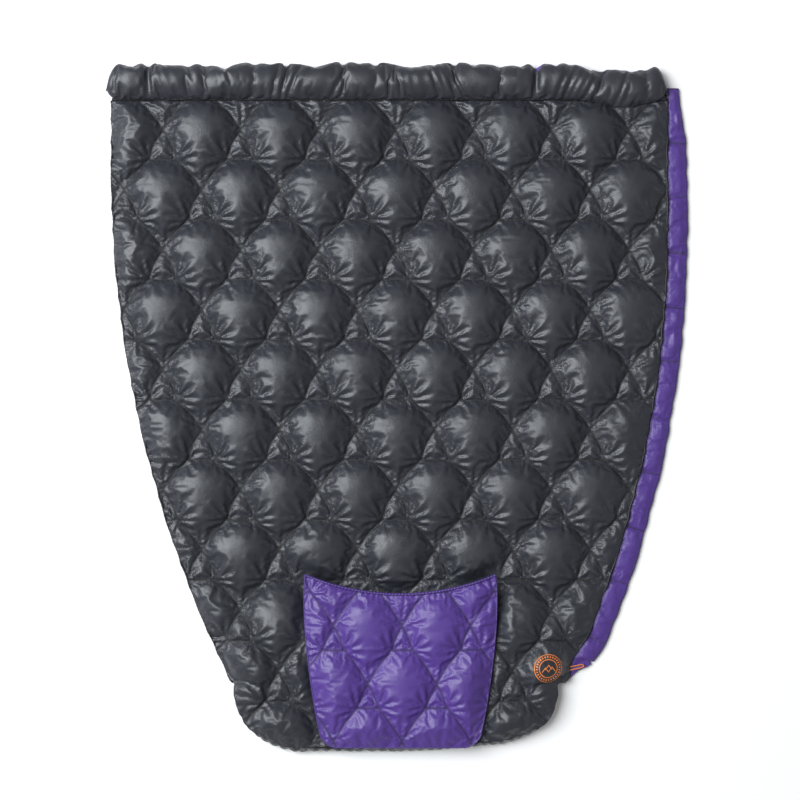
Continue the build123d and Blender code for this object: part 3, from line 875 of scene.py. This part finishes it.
def make_collar():
    """The stuffed collar: a tube that its elastic draws into puckers."""
    lowest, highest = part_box("collar_shell")
    start, end = lowest.x, highest.x
    x = np.linspace(start, end, int((end - start) / 0.0055))
    sides = 40
    turn = np.linspace(0, 2 * pi, sides, endpoint=False)
    depth = (HEAD_Y - SEAM_Y) / 2
    draw = np.zeros(len(x))
    for pucker in COLLAR_PUCKERS:
        strength = 0.42 if pucker in DEEP_PUCKERS else 0.20
        draw = np.maximum(draw, strength * np.exp(-((x - pucker) / 0.012) ** 2))
    from_end = np.minimum(x - start, end - x)
    rounding = np.sqrt(np.clip(1 - (1 - np.clip(from_end / 0.036, 0.02, 1)) ** 2, 0.04, 1))
    full = rounding * (1 - 0.030 * (1 + np.sin(x * 23 + 1)) - 0.015 * (1 + np.sin(x * 51)))
    seam_y = SEAM_Y - 0.022 * np.exp(-((x - 0.60) / 0.08) ** 2) + 0.034 * (1 - rounding)
    head_y = SEAM_Y + 2 * depth * full * (1 - 0.30 * draw) - 0.012 * smooth((x - 0.44) / 0.10)
    middle_y = (seam_y + head_y) / 2
    lean = (1 + np.cos(turn))[None] / 2
    across = seam_y[:, None] * (1 - lean) + head_y[:, None] * lean
    tall = np.sin(turn)[None]
    height = 0.024 + np.where(tall > 0, 0.021, 0.0225) * tall * ((1 - draw) * rounding)[:, None]
    slant = x[:, None] + 0.5 * np.sin(x[:, None] * 9) * (across - SEAM_Y)
    ribs = np.sin(slant * 2 * pi / 0.026 + 3.5 * np.sin(slant * 14) + 2 * np.sin(slant * 41))
    height += 0.0014 * np.clip(tall, 0, 1) * ribs * (0.5 + 0.5 * np.sin(x[:, None] * 17))
    points = np.stack([np.broadcast_to(x[:, None], across.shape), across, height], axis=-1)
    count = len(x)
    ends = ((start - 0.002, middle_y[0], 0.022), (end + 0.002, middle_y[-1], 0.022))
    collar = closed_tube("collar_roll", points, ends)
    around = np.tile(np.arange(sides), count)
    seam_side = abs(around - sides // 2) == 0
    hem_side = (around <= 1) | (around >= sides - 1)
    drawn = np.repeat(draw, sides)
    pinned = seam_side | (drawn > 0.28) | (hem_side & (drawn > 0.12))
    girth = 2 * pi * 0.036
    flat = np.column_stack([np.repeat(x, sides), np.tile(turn / (2 * pi) * girth, count)])
    store_cut(collar, np.vstack([flat, (start, 0), (end, 0)]))
    to_seam = np.tile(np.minimum(abs(turn - pi) * 0.036, 1), count)
    store(collar, "seam", np.append(to_seam, (1, 1)))
    blow_up(collar, np.append(pinned, (True, True)), pressure=18, spare=0.07, limit=0.016)
    lift_off_floor(collar)
    subdivide(collar)
    stands_for = ("collar_shell", "collar_lining", "collar_down", "collar_elastic")
    finish_cloth(collar, charcoal_nylon(), "charcoal_nylon", None, *stands_for)
    show_lining(collar)
    hinge = Vector((0, SEAM_Y, LOFT))
    start, end = hinge - Vector((0, 0.010, 0)), hinge + Vector((0, 0.022, 0))
    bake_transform(collar)


# ---------------------------------------------------------------- the draft flap
FLAP_TAPER = 0.20  # length over which the flap's head end widens
FLAP_ROUND = 0.10  # length over which its foot end rounds off


def flap_points(along, across, trim):
    """Places on the flap's flat plan: along it in metres from its head end, across it from 0 to 1."""
    y = high("flap_lining").y - along
    x = side_edge(np.clip(y, NOTCH_Y + 0.013, SEAM_Y), 1, trim)
    slope = np.gradient(x[:, 0], y[:, 0])[:, None]
    size = np.sqrt(1 + slope ** 2)
    length = along[-1, 0]
    width = trim.flap_width * (1 - 0.15 * smooth((along - length + 0.12) / 0.12))
    width = width * (1 - 0.42 * smooth((FLAP_TAPER - along) / FLAP_TAPER))
    shift = 0.048 * across * smooth((along - length + FLAP_ROUND) / FLAP_ROUND)
    return x + across * width / size + shift * slope, y - across * width * slope / size + shift


def make_draft_flap():
    """A narrow padded flap beside the quilt: purple lining up, black shell on the floor."""
    trim = bpy.context.scene.trim_sizes
    length = high("flap_lining").y - low("flap_lining").y
    rows, columns = int(length / 0.0055), 13
    along = np.linspace(0, length, rows)[:, None] * np.ones((1, columns))
    across = np.linspace(-0.16, 1, columns)[None] * np.ones((rows, 1))
    x, y = flap_points(along, across, trim)
    wobble = 0.0010 * np.sin(along * 21) + 0.0006 * np.sin(along * 57)
    x = x + wobble * np.clip(across, 0, 1)
    to_cross = abs((along / trim.flap_cell + 0.5) % 1 - 0.5) * trim.flap_cell
    edge = np.clip(np.minimum(across + 0.16, 1 - across), 0, 1)
    at_seam = np.exp(-(to_cross / 0.010) ** 2)
    crown = smooth(edge / 0.4) * (1 - 0.75 * at_seam) * smooth((length - along) / 0.09)
    for word, face_up in (("top", True), ("under", False)):
        height = 0.0075 + 0.006 * crown if face_up else 0.006 - 0.005 * crown
        piece = grid_piece(f"draft_flap_{word}", x, y, height, face_up=not face_up)
        border = border_of(rows, columns)
        cross = to_cross < 0.003
        pinned = (border | (cross & ((edge < 0.2) | (np.arange(columns) % 4 == 0)))).ravel()
        to_seam = np.minimum(to_cross, abs(across - 0.10) * trim.flap_width + 0.0008)
        to_hem = np.where(across > 0.9, (1 - across) * 0.05 + 0.001, 1)
        store(piece, "seam", np.minimum(to_seam, to_hem).ravel())
        store_cut(piece, np.column_stack([across.ravel() * trim.flap_width, along.ravel()]))
        blow_up(piece, pinned, pressure=10 if face_up else 6, spare=0.06, limit=0.004)
        moved = points_of(piece)
        start = height.ravel()
        low_limit, high_limit = (start, 1.0) if face_up else (FLOOR_GAP, start)
        moved[:, 2] = np.clip(moved[:, 2], low_limit, high_limit)
        set_points(piece, moved)
        subdivide(piece)
        if face_up:
            stands_for = ("flap_lining", "flap_down", "flap_hem", "flap_seam_tape")
            finish_cloth(piece, purple_nylon(), "purple_nylon", "quilt", *stands_for)
            piece.data.materials.append(dark_binding())
            for face in piece.data.polygons:
                at_corner = face.center.y > high("flap_lining").y - 0.040
                if at_corner and face.center.x < RIGHT + 0.001:
                    face.material_index = 1
        else:
            finish_cloth(piece, charcoal_nylon(), "charcoal_nylon", "quilt", "flap_shell")


# ---------------------------------------------------------------- the foot pocket
def foot_line(trim, step=0.0045):
    """The foot's outline from the left notch round the toes to the right one, and its outward way."""
    corner = trim.toe_corner
    side = np.arange(NOTCH_Y, FOOT_Y + corner, -step)
    left = np.column_stack([np.full(len(side), -FOOT_HALF), side])
    turn = np.arange(0, pi / 2, step / corner)
    bend_x = -FOOT_HALF + corner - corner * np.cos(turn)
    bend = np.column_stack([bend_x, FOOT_Y + corner - corner * np.sin(turn)])
    toe = np.arange(-FOOT_HALF + corner, 0, step)
    half = np.vstack([left, bend, np.column_stack([toe, np.full(len(toe), FOOT_Y)]), [(0, FOOT_Y)]])
    line = np.vstack([half, half[-2::-1] * (-1, 1)])
    run = np.gradient(line, axis=0)
    run /= np.linalg.norm(run, axis=1, keepdims=True)
    return line, np.column_stack([run[:, 1], -run[:, 0]])


def make_toe_gusset():
    """The boxed wall round the toes, gathered between the top seam and the back panel."""
    trim, sizes = bpy.context.scene.trim_sizes, bpy.context.scene.quilt_sizes
    line, out = foot_line(trim)
    rows = 13
    rise = np.linspace(0, 1, rows)[:, None, None]
    edge = line + np.column_stack([np.zeros(len(line)), toe_slant(*line.T)])
    foot = np.column_stack([edge - out * 0.012, np.full(len(line), 0.002)])
    belly = np.column_stack([edge + out * 0.002, np.full(len(line), 0.018)])
    top = np.column_stack([drawn_in(line, trim), sizes.seam_height + lift(line * 0.995, trim)])
    wall = foot * (1 - rise) ** 2 + belly * 2 * rise * (1 - rise) + top * rise ** 2
    along = np.arange(len(line)) * 0.0045
    fold = np.sin(along * 2 * pi / 0.027 + 3.1 * np.sin(along * 9)) * np.sin(pi * rise[:, :, 0]) * 0.0012
    wall[:, :, :2] += out[None] * fold[:, :, None]
    piece = grid_piece("toe_gusset", *np.moveaxis(wall, 2, 0))
    flat = np.column_stack([np.tile(along, rows), np.repeat(np.linspace(0, 0.06, rows), len(line))])
    store_cut(piece, flat)
    store(piece, "seam", np.minimum(flat[:, 1], 0.06 - flat[:, 1]))
    border = border_of(rows, len(line))
    blow_up(piece, border.ravel(), pressure=7, spare=0.08, bending=0.006, limit=0.008)
    points = points_of(piece)
    points[:, 2] = np.maximum(points[:, 2], FLOOR_GAP)
    points[:, 1] = np.maximum(points[:, 1], FOOT_Y - 0.006)
    set_points(piece, points)
    subdivide(piece)
    finish_cloth(piece, charcoal_nylon(), "charcoal_nylon", "quilt", "foot_gusset")


def make_foot_back():
    """The panel under the feet: black outside, purple inside, sewn into channels, with a hem."""
    trim = bpy.context.scene.trim_sizes
    rows, columns, channels = 40, 121, 6
    y = np.linspace(FOOT_Y + 0.010, NOTCH_Y - 0.003, rows)[:, None] * np.ones((1, columns))
    half = FOOT_HALF - trim.toe_corner - 0.010 + np.sqrt(
        trim.toe_corner ** 2 - np.clip(FOOT_Y + 0.010 + trim.toe_corner - y, 0, trim.toe_corner) ** 2)
    across = np.linspace(-1, 1, columns)[None] * np.ones((rows, 1))
    x = across * half
    placed_y = y + toe_slant(x, y)
    to_channel = abs((across * channels / 2 + 0.5 * (channels % 2)) % 1 - 0.5)
    to_channel = (0.5 - to_channel) * 2 * FOOT_HALF / channels
    from_ends = np.minimum(y - FOOT_Y - 0.010, NOTCH_Y - 0.003 - y)
    edge = np.minimum(np.minimum(1 - abs(across), 0.2) * half, from_ends)
    crown = smooth(np.minimum(edge, to_channel) / 0.03)
    sheets = (("under", 0.0055 - 0.0045 * crown, charcoal_nylon, "charcoal_nylon", ("foot_back_shell",)),
              ("inside", 0.0075 + 0.0045 * crown, purple_nylon, "purple_nylon",
               ("foot_back_lining", "foot_back_down")))
    for word, height, finish, slot, nodes in sheets:
        piece = grid_piece(f"foot_back_{word}_sheet", x, placed_y, height, face_up=word != "under")
        store_cut(piece, np.column_stack([x.ravel(), y.ravel()]))
        store(piece, "seam", np.minimum(edge, to_channel).ravel())
        pinned = (edge < 0.0005) | (to_channel < 0.002)
        blow_up(piece, pinned.ravel(), pressure=4, spare=0.04, limit=0.004)
        points = points_of(piece)
        points[:, 2] = np.clip(points[:, 2], FLOOR_GAP, 0.014)
        set_points(piece, points)
        subdivide(piece)
        finish_cloth(piece, finish(), slot, "quilt", *nodes)
    x = np.arange(-FOOT_HALF + 0.012, FOOT_HALF - 0.011, 0.006)
    path = np.column_stack([x, np.full(len(x), NOTCH_Y - 0.003), np.full(len(x), 0.0065)])
    hem = tube("foot_back_binding", path, trim.binding, 0.011, ripple=0.1)
    finish_cloth(hem, dark_binding(), "dark_binding", "quilt", "foot_back_hem")


# ---------------------------------------------------------------- the hand pocket
POCKET_FLOOR = 0.060  # height of the pocket's sewn edge
POCKET_SPAN = 0.009  # how far its middle stands off the shell
WALL_DEPTH = 0.020  # the side walls' depth, down to the shell
WALL_AT_TOES = 0.005  # their extra depth along the toes, where the shell falls away


def mouth_span():
    """The mouth's middle and half of its width."""
    left, right = low("pocket_mouth_binding").x, high("pocket_mouth_binding").x
    return (POCKET_LOW.x + POCKET_HIGH.x) / 2, (right - left) / 2


def mouth_line(pocket, count=150):
    """The mouth's edge from its left corner to its right one."""
    middle, mouth = mouth_span()
    turn = np.linspace(-1, 1, count)
    return np.column_stack([middle + turn * mouth, MOUTH_Y - pocket.sag * (1 - turn ** 2)])


def mouth_rise(x, pocket):
    """The mouth's edge stands off the shell in its middle and is sewn down at its corners."""
    middle, mouth = mouth_span()
    from_corner = 1 - abs(x - middle) / mouth
    return POCKET_FLOOR + POCKET_SPAN * 0.75 * smooth(from_corner / 0.25)


def pocket_blend(piece):
    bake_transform(piece)


def make_pocket_face():
    scene = bpy.context.scene
    pocket = scene.pocket_sizes
    middle = (POCKET_LOW.x + POCKET_HIGH.x) / 2 + 0.004
    line = mouth_line(pocket)
    for word, steps, drop in (("face", 24, 0.0), ("inside", 12, 0.006)):
        first_y = MOUTH_Y - pocket.first_crossing
        cloth = QuiltedCloth(pocket_polygon(pocket), first_y, middle, pocket, steps, 0.008)
        from_line = cloth.bent[:, None, :] - line[None, ::5]
        to_mouth = np.sqrt((from_line ** 2).sum(2)).min(1)
        depth = np.clip(cloth.depth, 0, None)
        sides = np.minimum(depth, 0.06)
        by_sides = POCKET_FLOOR + POCKET_SPAN * smooth(sides / 0.06)
        by_mouth = mouth_rise(cloth.bent[:, 0], pocket) + 0.006 * smooth(depth / 0.05)
        near_mouth = np.exp(-(to_mouth / 0.035) ** 2)
        base = by_sides * (1 - near_mouth) + by_mouth * near_mouth
        gathers = 0.0020 * np.sin(cloth.bent[:, 0] * 2 * pi / 0.0135 + 1.5 * np.sin(cloth.bent[:, 0] * 37))
        gathers = gathers * np.exp(-to_mouth / 0.022)
        crown = cloth.relaxed(cloth.crown(0.055), rounds=10 if word == "face" else 3)
        if word == "face":
            height = base + pocket.puff * crown * cloth.uneven(0.08) + 0.0042 * cloth.folds + gathers
            piece = cloth.make("hand_pocket_face", height)
            blow_up(piece, cloth.on_seam | cloth.rim, pressure=18, spare=0.035, bending=0.008, limit=0.014)
            points = points_of(piece)
            points[:, 2] = np.minimum(points[:, 2], high("pocket_shell").z + 0.004)
            set_points(piece, points)
            subdivide(piece)
            nodes = ("pocket_shell", "pocket_thread", "pocket_down")
        else:
            height = np.maximum(base - drop - 0.004 * crown + gathers, POCKET_FLOOR - 0.001)
            piece = cloth.make("hand_pocket_inside", height, face_up=False)
            nodes = ("pocket_lining",)
        finish_cloth(piece, pocket_nylon(), "purple_nylon", None, *nodes)
        pocket_blend(piece)


def make_pocket_trim():
    """The gathered mouth binding, the side walls round the pocket's sewn edge, and the seam round them."""
    pocket = bpy.context.scene.pocket_sizes
    line = mouth_line(pocket, 220)
    path = np.column_stack([line, mouth_rise(line[:, 0], pocket) + 0.001])
    binding = tube("hand_pocket_mouth", path, 0.007, 0.009, sides=12, ripple=0.16, ripple_pitch=0.0085)
    stands_for = ("pocket_mouth_binding", "pocket_mouth_elastic")
    finish_cloth(binding, purple_binding(), "purple_binding", None, *stands_for)
    pocket_blend(binding)

    polygon = pocket_polygon(pocket)
    sewn = np.vstack([polygon[59:], polygon[:1]])  # from the mouth's left corner round to its right one
    length = np.concatenate([[0], np.cumsum(np.linalg.norm(np.diff(sewn, axis=0), axis=1))])
    along = np.arange(0, length[-1], 0.005)
    edge = np.column_stack([np.interp(along, length, sewn[:, 0]), np.interp(along, length, sewn[:, 1])])
    middle = edge.mean(0)
    inward = (middle - edge) / np.linalg.norm(middle - edge, axis=1, keepdims=True)
    rows = 9
    rise = np.linspace(0, 1, rows)[:, None]
    drop = WALL_DEPTH + WALL_AT_TOES * smooth((POCKET_LOW.y + 0.03 - edge[:, 1]) / 0.02)
    x = edge[:, 0][None] + inward[:, 0][None] * 0.003 * np.sin(pi * rise)
    y = edge[:, 1][None] + inward[:, 1][None] * 0.003 * np.sin(pi * rise)
    z = POCKET_FLOOR - drop * (1 - rise)
    wall = grid_piece("hand_pocket_wall", x, y, z)
    store_cut(wall, np.column_stack([np.tile(along, rows), z.ravel()]))
    store(wall, "seam", np.ones(x.size))
    solid = wall.modifiers.new("thickness", "SOLIDIFY")
    solid.thickness = 0.0008
    apply_modifiers(wall)
    finish_cloth(wall, pocket_nylon(), "purple_nylon", None, "pocket_side_tape")
    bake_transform(wall)

    bead = np.column_stack([edge - inward * 0.001, np.full(len(edge), POCKET_FLOOR - 0.0015)])
    seam = tube("hand_pocket_seam", bead, 0.004, 0.004, sides=8, ripple=0.2)
    finish_cloth(seam, purple_binding(), "purple_binding", "quilt", "pocket_seam")


# ---------------------------------------------------------------- print and loop
def make_badge():
    """A thin print that follows the shell's surface."""
    lowest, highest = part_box("badge")
    middle = (lowest + highest) / 2
    shell = bpy.data.objects["quilt_shell"]
    tree = BVHTree.FromObject(shell, bpy.context.evaluated_depsgraph_get())
    deselect()
    radius = bpy.context.scene.trim_sizes.badge_radius
    bpy.ops.mesh.primitive_circle_add(vertices=72, radius=radius, fill_type="TRIFAN", location=middle)
    badge = bpy.context.active_object
    badge.name = "round_badge"
    badge.data.name = "round_badge"
    bpy.ops.object.transform_apply(location=True, rotation=True, scale=True)
    bpy.ops.object.mode_set(mode="EDIT")
    bpy.ops.mesh.select_all(action="SELECT")
    bpy.ops.mesh.subdivide(number_cuts=9)
    bpy.ops.mesh.normals_make_consistent(inside=False)
    bpy.ops.object.mode_set(mode="OBJECT")
    points = points_of(badge)
    for index, (x, y, _) in enumerate(points):
        hit = tree.ray_cast(Vector((x, y, 1)), Vector((0, 0, -1)))[0]
        points[index, 2] = hit.z + 0.0005
    set_points(badge, points)
    solid = badge.modifiers.new("thickness", "SOLIDIFY")
    solid.thickness = 0.0004
    solid.offset = 1
    apply_modifiers(badge)
    finish_cloth(badge, badge_print(middle), "badge_print", "quilt", "badge")


LOOP_TURN = radians(12)
LOOP_CORD = 0.0034
LOOP_ARCH = 0.0010
TACK_COVER = 0.0024  # the tack's middle to the cord's ends under it
LOOP_SINK = 0.0026  # the cord rests on the flap, a little lower than its solid


def make_strap_loop():
    """A loop of braided cord, sewn down at both ends under a bar tack."""
    lowest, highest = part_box("strap_loop_tack")
    out = Vector((cos(LOOP_TURN), sin(LOOP_TURN), 0))
    base = (lowest + highest) / 2 + TACK_COVER * out
    side = Vector((-out.y, out.x, 0))
    height = (low("strap_loop").z + high("strap_loop").z) / 2 - LOOP_SINK
    reach = high("strap_loop").x - base.x
    route = []
    for turn in np.linspace(-1, 1, 49):
        run = reach * (1 - abs(turn) ** 2.6)
        spread = 0.0042 * np.sign(turn) * (1 - (1 - abs(turn)) ** 2.2) ** 0.6
        arch = LOOP_ARCH * sin(pi * run / reach)
        route.append(base + out * run + side * spread + Vector((0, 0, height - base.z + arch)))
    loop = tube("strap_loop_cord", route, LOOP_CORD, LOOP_CORD, sides=12, ripple=0.06, ripple_pitch=0.004)
    finish_cloth(loop, orange_cord(), "orange_cord", "strap", "strap_loop")
    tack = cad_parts["strap_loop_tack"]
    for place in tack.material_slots:
        place.material = bar_tack_thread()


# ---------------------------------------------------------------- the studio
KEY_PLACE = (-4.4, 1.6, 6.0)
CAMERA_PLACE = (0.0106, 0.0213, 5.0)
LENS = 84.6  # millimetres


def make_studio():
    """A pale floor, soft light from the head's left, and a camera straight above."""
    scene = bpy.context.scene
    deselect()
    bpy.ops.mesh.primitive_plane_add(size=14, location=(0, 0, -0.0008))
    ground = bpy.context.active_object
    ground.name = "studio_floor"
    paint, _, surface = blank("studio_floor")
    surface.inputs["Base Color"].default_value = (0.96, 0.96, 0.96, 1)
    surface.inputs["Roughness"].default_value = 0.9
    surface.inputs["Specular IOR Level"].default_value = 0.1
    ground.data.materials.append(paint)

    key = bpy.data.lights.new("key", "AREA")
    scene.view_settings.view_transform = "Standard"
    key.shape = "RECTANGLE"
    key.size, key.size_y = 5.0, 6.6
    key.energy = 860
    key.color = (0.94, 0.975, 1.0)
    lamp = bpy.data.objects.new("key", key)
    lamp.location = KEY_PLACE
    lamp.rotation_euler = (-lamp.location).to_track_quat("-Z", "Y").to_euler()
    scene.collection.objects.link(lamp)

    world = bpy.data.worlds.new("studio")
    world.use_nodes = True
    world.node_tree.nodes["Background"].inputs["Color"].default_value = (1, 1, 1, 1)
    world.node_tree.nodes["Background"].inputs["Strength"].default_value = 0.32
    scene.world = world

    lens = bpy.data.cameras.new("camera")
    lens.lens = LENS
    lens.sensor_width = 36
    lens.clip_end = 50
    camera = bpy.data.objects.new("camera", lens)
    camera.location = CAMERA_PLACE
    scene.collection.objects.link(camera)
    scene.camera = camera


# ---------------------------------------------------------------- operators
class QUILT_OT_studio(bpy.types.Operator):
    """Sets up the floor, the light and the camera"""
    bl_idname = "quilt.studio"
    bl_label = "Studio"

    def execute(self, context):
        make_studio()
        return {"FINISHED"}


class QUILT_OT_shell(bpy.types.Operator):
    """Sews and fills the quilted shell"""
    bl_idname = "quilt.shell"
    bl_label = "Shell"

    def execute(self, context):
        make_shell()
        return {"FINISHED"}


class QUILT_OT_lining(bpy.types.Operator):
    """Sews and fills the underside"""
    bl_idname = "quilt.lining"
    bl_label = "Lining"

    def execute(self, context):
        make_lining()
        return {"FINISHED"}


class QUILT_OT_collar(bpy.types.Operator):
    """Stuffs the collar and draws it into puckers, with its seam tape"""
    bl_idname = "quilt.collar"
    bl_label = "Collar"

    def execute(self, context):
        make_collar()
        make_collar_seam()
        return {"FINISHED"}


class QUILT_OT_edge_bindings(bpy.types.Operator):
    """Binds the left and right edges"""
    bl_idname = "quilt.edge_bindings"
    bl_label = "Edge bindings"

    def execute(self, context):
        make_edge_bindings()
        return {"FINISHED"}


class QUILT_OT_draft_flap(bpy.types.Operator):
    """Pads the draft flap along the right edge"""
    bl_idname = "quilt.draft_flap"
    bl_label = "Draft flap"

    def execute(self, context):
        make_draft_flap()
        return {"FINISHED"}


class QUILT_OT_foot_pocket(bpy.types.Operator):
    """Closes the foot pocket with its gathered wall and its back panel"""
    bl_idname = "quilt.foot_pocket"
    bl_label = "Foot pocket"

    def execute(self, context):
        make_toe_gusset()
        make_foot_back()
        return {"FINISHED"}


class QUILT_OT_hand_pocket(bpy.types.Operator):
    """Sews the quilted hand pocket on, with its gathered mouth"""
    bl_idname = "quilt.hand_pocket"
    bl_label = "Hand pocket"

    def execute(self, context):
        make_pocket_face()
        make_pocket_trim()
        return {"FINISHED"}


class QUILT_OT_badge(bpy.types.Operator):
    """Prints the round badge on the shell"""
    bl_idname = "quilt.badge"
    bl_label = "Badge"

    def execute(self, context):
        if "quilt_shell" not in bpy.data.objects:
            raise RuntimeError("The badge is printed on the shell, so the shell comes first.")
        make_badge()
        return {"FINISHED"}


class QUILT_OT_strap_loop(bpy.types.Operator):
    """Sews the cord loop to the flap's low end"""
    bl_idname = "quilt.strap_loop"
    bl_label = "Strap loop"

    def execute(self, context):
        make_strap_loop()
        return {"FINISHED"}


OPERATORS = (QUILT_OT_studio, QUILT_OT_shell, QUILT_OT_lining, QUILT_OT_collar, QUILT_OT_edge_bindings,
             QUILT_OT_draft_flap, QUILT_OT_foot_pocket, QUILT_OT_hand_pocket, QUILT_OT_badge,
             QUILT_OT_strap_loop)
GROUPS = {"quilt_sizes": QuiltSizes, "pocket_sizes": PocketSizes, "trim_sizes": TrimSizes,
          "quilt_colours": QuiltColours}


class QUILT_PT_panel(bpy.types.Panel):
    """The quilt's sizes, colours and pieces"""
    bl_idname = "QUILT_PT_panel"
    bl_label = "Camp quilt"
    bl_space_type = "VIEW_3D"
    bl_region_type = "UI"
    bl_category = "Camp quilt"

    def draw(self, context):
        for name, group in GROUPS.items():
            box = self.layout.box()
            box.label(text=group.__name__)
            for size in group.__annotations__:
                box.prop(getattr(context.scene, name), size)
        for operator in OPERATORS:
            self.layout.operator(operator.bl_idname)


def register():
    for group in GROUPS.values():
        bpy.utils.register_class(group)
    for name, group in GROUPS.items():
        setattr(bpy.types.Scene, name, PointerProperty(type=group))
    for operator in (*OPERATORS, QUILT_PT_panel):
        bpy.utils.register_class(operator)


def unregister():
    for operator in (QUILT_PT_panel, *reversed(OPERATORS)):
        bpy.utils.unregister_class(operator)
    for name, group in GROUPS.items():
        delattr(bpy.types.Scene, name)
        bpy.utils.unregister_class(group)


def main():
    register()
    bpy.ops.quilt.studio()
    bpy.ops.quilt.shell()
    bpy.ops.quilt.lining()
    bpy.ops.quilt.collar()
    bpy.ops.quilt.edge_bindings()
    bpy.ops.quilt.draft_flap()
    bpy.ops.quilt.foot_pocket()
    bpy.ops.quilt.hand_pocket()
    bpy.ops.quilt.badge()
    bpy.ops.quilt.strap_loop()
    deselect()


if __name__ == "__main__":
    main()
